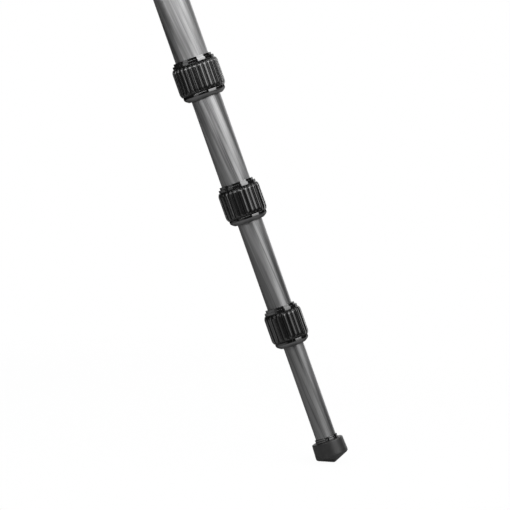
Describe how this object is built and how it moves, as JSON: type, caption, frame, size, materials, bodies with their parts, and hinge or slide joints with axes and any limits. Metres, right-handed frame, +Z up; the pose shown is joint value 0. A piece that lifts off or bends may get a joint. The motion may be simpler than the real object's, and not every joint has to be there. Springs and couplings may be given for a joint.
{
  "type": "camera tripod",
  "caption": "Free-standing camera tripod with telescoping twist-lock legs in carbon tube, conical rubber feet, a sliding centre column and a flat head plate with a screw.",
  "frame": {"origin": "centre of the head plate's top face, where the head screw rises out of it", "axes": "+Z up along the centre column; +X points from the column towards leg 1's foot; +Y completes the right-handed frame"},
  "size_m": [0.458, 0.5246, 0.7519],
  "materials": {
    "carbon_tube": "clear-coated carbon fibre, satin",
    "coated_casting": "fine-textured black coating",
    "black_metal": "polished black anodised",
    "lock_metal": "dark grey anodised",
    "grey_metal": "satin grey anodised",
    "grip_rubber": "fine-textured rubber",
    "foot_rubber": "smooth matt rubber",
    "bolt_steel": "turned steel",
    "sleeve_plastic": "moulded nylon",
    "level_vial": "clear vial with tinted liquid"
  },
  "bodies": {
    "spider_frame": {"spider": "coated_casting", "hinge_bolts": "bolt_steel", "bubble_level": "level_vial", "column_sleeve": "sleeve_plastic"},
    "column": {"column_tube": "carbon_tube", "top_plate": "coated_casting", "head_stud": "bolt_steel", "set_screws": "bolt_steel", "column_end_cap": "black_metal"},
    "column_lock": {"column_collar": "lock_metal", "column_grip": "grip_rubber"},
    "bag_hook": {"hook": "bolt_steel"},
    "leg_1_upper": {"leg_1_yoke": "coated_casting", "leg_1_tube_1": "carbon_tube", "leg_1_lock_1_socket": "black_metal"},
    "leg_1_angle_latch": {"leg_1_latch": "grey_metal"},
    "leg_1_section_2": {"leg_1_tube_2": "carbon_tube", "leg_1_lock_2_socket": "black_metal"},
    "leg_1_section_3": {"leg_1_tube_3": "carbon_tube", "leg_1_lock_3_socket": "black_metal"},
    "leg_1_section_4": {"leg_1_tube_4": "carbon_tube", "leg_1_foot": "foot_rubber"},
    "leg_1_lock_1": {"leg_1_collar_1": "lock_metal", "leg_1_grip_1": "grip_rubber"},
    "leg_1_lock_2": {"leg_1_collar_2": "lock_metal", "leg_1_grip_2": "grip_rubber"},
    "leg_1_lock_3": {"leg_1_collar_3": "lock_metal", "leg_1_grip_3": "grip_rubber"},
    "leg_2_upper": {"leg_2_yoke": "coated_casting", "leg_2_tube_1": "carbon_tube", "leg_2_lock_1_socket": "black_metal"},
    "leg_2_angle_latch": {"leg_2_latch": "grey_metal"},
    "leg_2_section_2": {"leg_2_tube_2": "carbon_tube", "leg_2_lock_2_socket": "black_metal"},
    "leg_2_section_3": {"leg_2_tube_3": "carbon_tube", "leg_2_lock_3_socket": "black_metal"},
    "leg_2_section_4": {"leg_2_tube_4": "carbon_tube", "leg_2_foot": "foot_rubber"},
    "leg_2_lock_1": {"leg_2_collar_1": "lock_metal", "leg_2_grip_1": "grip_rubber"},
    "leg_2_lock_2": {"leg_2_collar_2": "lock_metal", "leg_2_grip_2": "grip_rubber"},
    "leg_2_lock_3": {"leg_2_collar_3": "lock_metal", "leg_2_grip_3": "grip_rubber"},
    "leg_3_upper": {"leg_3_yoke": "coated_casting", "leg_3_tube_1": "carbon_tube", "leg_3_lock_1_socket": "black_metal"},
    "leg_3_angle_latch": {"leg_3_latch": "grey_metal"},
    "leg_3_section_2": {"leg_3_tube_2": "carbon_tube", "leg_3_lock_2_socket": "black_metal"},
    "leg_3_section_3": {"leg_3_tube_3": "carbon_tube", "leg_3_lock_3_socket": "black_metal"},
    "leg_3_section_4": {"leg_3_tube_4": "carbon_tube", "leg_3_foot": "foot_rubber"},
    "leg_3_lock_1": {"leg_3_collar_1": "lock_metal", "leg_3_grip_1": "grip_rubber"},
    "leg_3_lock_2": {"leg_3_collar_2": "lock_metal", "leg_3_grip_2": "grip_rubber"},
    "leg_3_lock_3": {"leg_3_collar_3": "lock_metal", "leg_3_grip_3": "grip_rubber"}
  },
  "joints": [
    {"name": "column_lift", "type": "slide", "parent": "spider_frame", "child": "column", "axis": [0, 0, 1], "range_m": [0, 0.2156]},
    {"name": "column_lock_twist", "type": "hinge", "parent": "spider_frame", "child": "column_lock", "pos_m": [0, 0, -0.0474], "axis": [0, 0, 1], "range_deg": [0, 120]},
    {"name": "bag_hook_swivel", "type": "hinge", "parent": "column", "child": "bag_hook", "pos_m": [0, 0, -0.309], "axis": [0, 0, 1], "continuous": true},
    {"name": "leg_1_spread", "type": "hinge", "parent": "spider_frame", "child": "leg_1_upper", "pos_m": [0.038, 0, -0.0674], "axis": [0, -1, 0], "range_deg": [-20.5, 0]},
    {"name": "leg_1_latch_pull", "type": "slide", "parent": "leg_1_upper", "child": "leg_1_angle_latch", "axis": [0.9367, 0, 0.3502], "range_m": [0, 0.006]},
    {"name": "leg_1_lock_1_twist", "type": "hinge", "parent": "leg_1_upper", "child": "leg_1_lock_1", "pos_m": [0.16838, 0, -0.41612], "axis": [0.3502, 0, -0.9367], "range_deg": [0, 120]},
    {"name": "leg_1_lock_2_twist", "type": "hinge", "parent": "leg_1_section_2", "child": "leg_1_lock_2", "pos_m": [0.20557, 0, -0.5156], "axis": [0.3502, 0, -0.9367], "range_deg": [0, 120]},
    {"name": "leg_1_lock_3_twist", "type": "hinge", "parent": "leg_1_section_3", "child": "leg_1_lock_3", "pos_m": [0.2428, 0, -0.61517], "axis": [0.3502, 0, -0.9367], "range_deg": [0, 120]},
    {"name": "leg_1_section_2_slide", "type": "slide", "parent": "leg_1_upper", "child": "leg_1_section_2", "axis": [0.3502, 0, -0.9367], "range_m": [-0.0723, 0.235]},
    {"name": "leg_1_section_3_slide", "type": "slide", "parent": "leg_1_section_2", "child": "leg_1_section_3", "axis": [0.3502, 0, -0.9367], "range_m": [-0.0724, 0.2663]},
    {"name": "leg_1_section_4_slide", "type": "slide", "parent": "leg_1_section_3", "child": "leg_1_section_4", "axis": [0.3502, 0, -0.9367], "range_m": [-0.0789, 0.2912]},
    {"name": "leg_2_spread", "type": "hinge", "parent": "spider_frame", "child": "leg_2_upper", "pos_m": [-0.019, 0.03291, -0.0674], "axis": [0.866, 0.5, 0], "range_deg": [-20.5, 0]},
    {"name": "leg_2_latch_pull", "type": "slide", "parent": "leg_2_upper", "child": "leg_2_angle_latch", "axis": [-0.4683, 0.8112, 0.3502], "range_m": [0, 0.006]},
    {"name": "leg_2_lock_1_twist", "type": "hinge", "parent": "leg_2_upper", "child": "leg_2_lock_1", "pos_m": [-0.08419, 0.14582, -0.41612], "axis": [-0.1751, 0.3033, -0.9367], "range_deg": [0, 120]},
    {"name": "leg_2_lock_2_twist", "type": "hinge", "parent": "leg_2_section_2", "child": "leg_2_lock_2", "pos_m": [-0.10279, 0.17803, -0.5156], "axis": [-0.1751, 0.3033, -0.9367], "range_deg": [0, 120]},
    {"name": "leg_2_lock_3_twist", "type": "hinge", "parent": "leg_2_section_3", "child": "leg_2_lock_3", "pos_m": [-0.1214, 0.21027, -0.61517], "axis": [-0.1751, 0.3033, -0.9367], "range_deg": [0, 120]},
    {"name": "leg_2_section_2_slide", "type": "slide", "parent": "leg_2_upper", "child": "leg_2_section_2", "axis": [-0.1751, 0.3033, -0.9367], "range_m": [-0.0723, 0.235]},
    {"name": "leg_2_section_3_slide", "type": "slide", "parent": "leg_2_section_2", "child": "leg_2_section_3", "axis": [-0.1751, 0.3033, -0.9367], "range_m": [-0.0724, 0.2663]},
    {"name": "leg_2_section_4_slide", "type": "slide", "parent": "leg_2_section_3", "child": "leg_2_section_4", "axis": [-0.1751, 0.3033, -0.9367], "range_m": [-0.0789, 0.2912]},
    {"name": "leg_3_spread", "type": "hinge", "parent": "spider_frame", "child": "leg_3_upper", "pos_m": [-0.019, -0.03291, -0.0674], "axis": [-0.866, 0.5, 0], "range_deg": [-20.5, 0]},
    {"name": "leg_3_latch_pull", "type": "slide", "parent": "leg_3_upper", "child": "leg_3_angle_latch", "axis": [-0.4683, -0.8112, 0.3502], "range_m": [0, 0.006]},
    {"name": "leg_3_lock_1_twist", "type": "hinge", "parent": "leg_3_upper", "child": "leg_3_lock_1", "pos_m": [-0.08419, -0.14582, -0.41612], "axis": [-0.1751, -0.3033, -0.9367], "range_deg": [0, 120]},
    {"name": "leg_3_lock_2_twist", "type": "hinge", "parent": "leg_3_section_2", "child": "leg_3_lock_2", "pos_m": [-0.10279, -0.17803, -0.5156], "axis": [-0.1751, -0.3033, -0.9367], "range_deg": [0, 120]},
    {"name": "leg_3_lock_3_twist", "type": "hinge", "parent": "leg_3_section_3", "child": "leg_3_lock_3", "pos_m": [-0.1214, -0.21027, -0.61517], "axis": [-0.1751, -0.3033, -0.9367], "range_deg": [0, 120]},
    {"name": "leg_3_section_2_slide", "type": "slide", "parent": "leg_3_upper", "child": "leg_3_section_2", "axis": [-0.1751, -0.3033, -0.9367], "range_m": [-0.0723, 0.235]},
    {"name": "leg_3_section_3_slide", "type": "slide", "parent": "leg_3_section_2", "child": "leg_3_section_3", "axis": [-0.1751, -0.3033, -0.9367], "range_m": [-0.0724, 0.2663]},
    {"name": "leg_3_section_4_slide", "type": "slide", "parent": "leg_3_section_3", "child": "leg_3_section_4", "axis": [-0.1751, -0.3033, -0.9367], "range_m": [-0.0789, 0.2912]}
  ]
}
